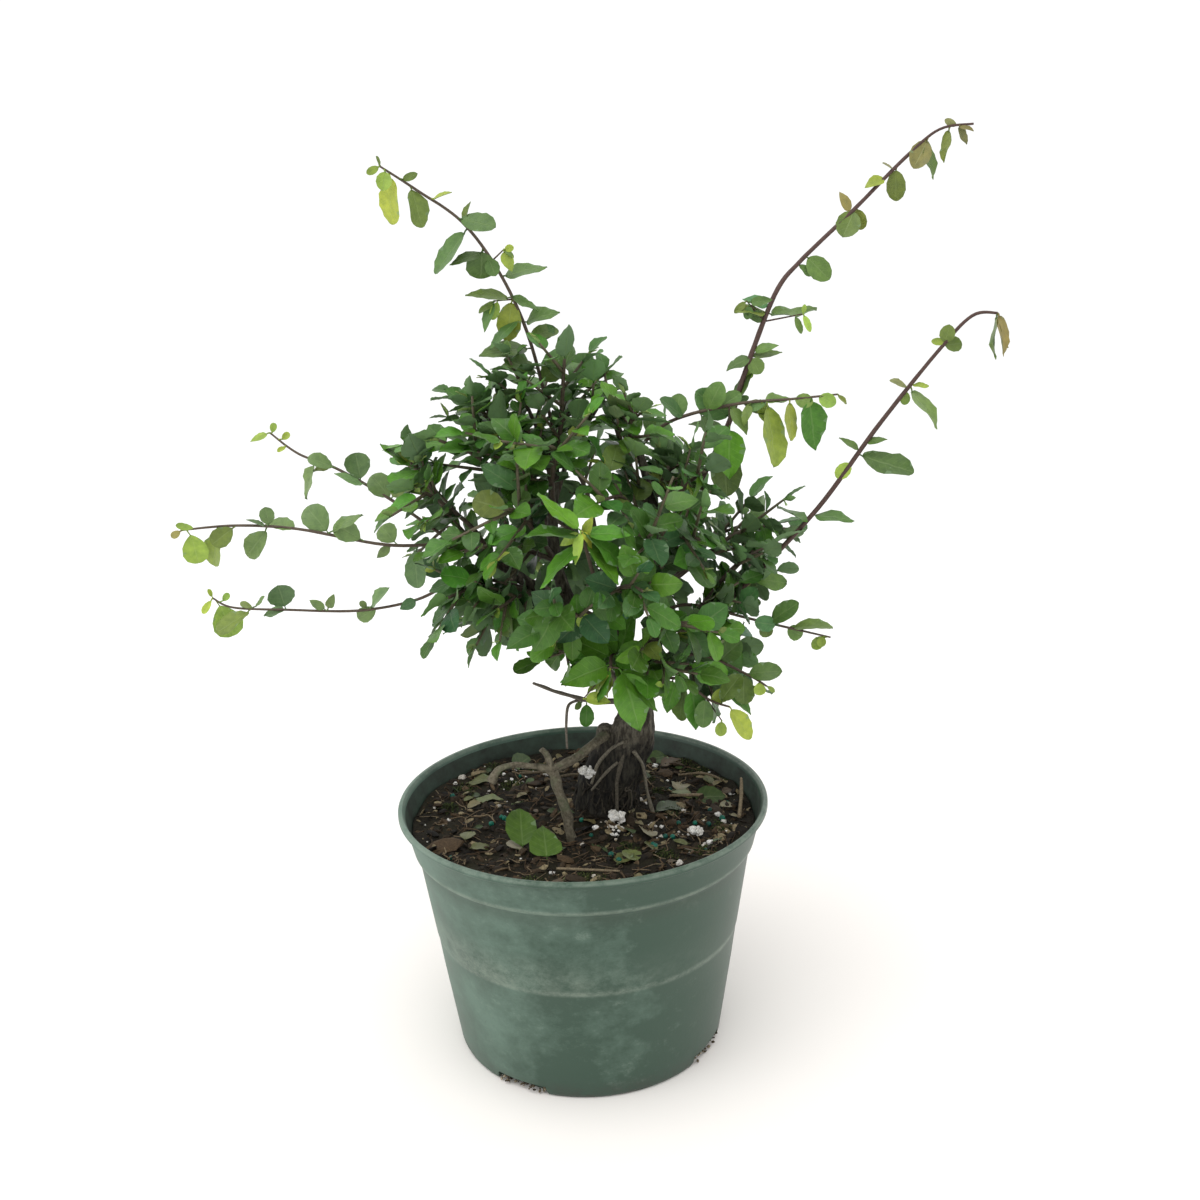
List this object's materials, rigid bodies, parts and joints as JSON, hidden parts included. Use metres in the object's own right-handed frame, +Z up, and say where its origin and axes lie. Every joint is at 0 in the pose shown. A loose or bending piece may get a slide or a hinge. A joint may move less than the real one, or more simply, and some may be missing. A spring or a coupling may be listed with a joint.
{
  "type": "potted bonsai tree",
  "caption": "Small sweet plum bonsai with a thick leaning trunk, leafy crown and long arching shoots, in a round green plastic nursery pot.",
  "frame": {"origin": "centre of the underside of the pot, on the surface that it stands on", "axes": "+Z up, the longest extent; +X to the right and +Y away from the viewer, as seen from the front, where the trunk leans to the right"},
  "size_m": [0.3436, 0.165, 0.3966],
  "materials": {
    "pot_plastic": "satin dark green polypropylene with a dusty film",
    "potting_mix": "rough damp bark and peat mix",
    "live_wood": "grey-brown flaking bark, damp and dark at the root",
    "dead_wood": "weathered grey-green bare root",
    "leafy_stem": "glossy green leaves on thin brown stems",
    "fallen_leaf": "dry olive leaf",
    "perlite": "rough white mineral grain"
  },
  "bodies": {
    "root": {"pot": "pot_plastic", "soil": "potting_mix", "trunk": "live_wood", "exposed_root": "dead_wood", "shoot_top_left": "leafy_stem", "shoot_right_tall": "leafy_stem", "shoot_right_low": "leafy_stem", "shoot_left_upper": "leafy_stem", "shoot_left_middle": "leafy_stem", "shoot_left_low": "leafy_stem", "shoot_right_upper": "leafy_stem", "shoot_right_middle": "leafy_stem", "shoot_right_front": "leafy_stem", "shoot_right_bottom": "leafy_stem", "cluster_front": "leafy_stem", "cluster_bottom": "leafy_stem", "crown_top_1": "leafy_stem", "crown_top_2": "leafy_stem", "crown_top_3": "leafy_stem", "crown_left_1": "leafy_stem", "crown_left_2": "leafy_stem", "crown_left_3": "leafy_stem", "crown_left_4": "leafy_stem", "crown_left_5": "leafy_stem", "crown_left_6": "leafy_stem", "crown_low": "leafy_stem", "crown_front_1": "leafy_stem", "crown_front_2": "leafy_stem", "crown_front_3": "leafy_stem", "crown_front_4": "leafy_stem", "crown_front_5": "leafy_stem", "crown_right_1": "leafy_stem", "crown_right_2": "leafy_stem", "crown_right_3": "leafy_stem", "crown_right_4": "leafy_stem", "crown_back_1": "leafy_stem", "crown_back_2": "leafy_stem", "crown_back_3": "leafy_stem", "crown_back_4": "leafy_stem", "crown_back_5": "leafy_stem", "crown_back_6": "leafy_stem", "crown_back_7": "leafy_stem", "fallen_leaf_1": "fallen_leaf", "fallen_leaf_2": "fallen_leaf", "fallen_leaf_3": "fallen_leaf", "fallen_leaf_4": "fallen_leaf", "fallen_leaf_5": "fallen_leaf", "perlite_1": "perlite", "perlite_2": "perlite", "perlite_3": "perlite"}
  },
  "joints": []
}
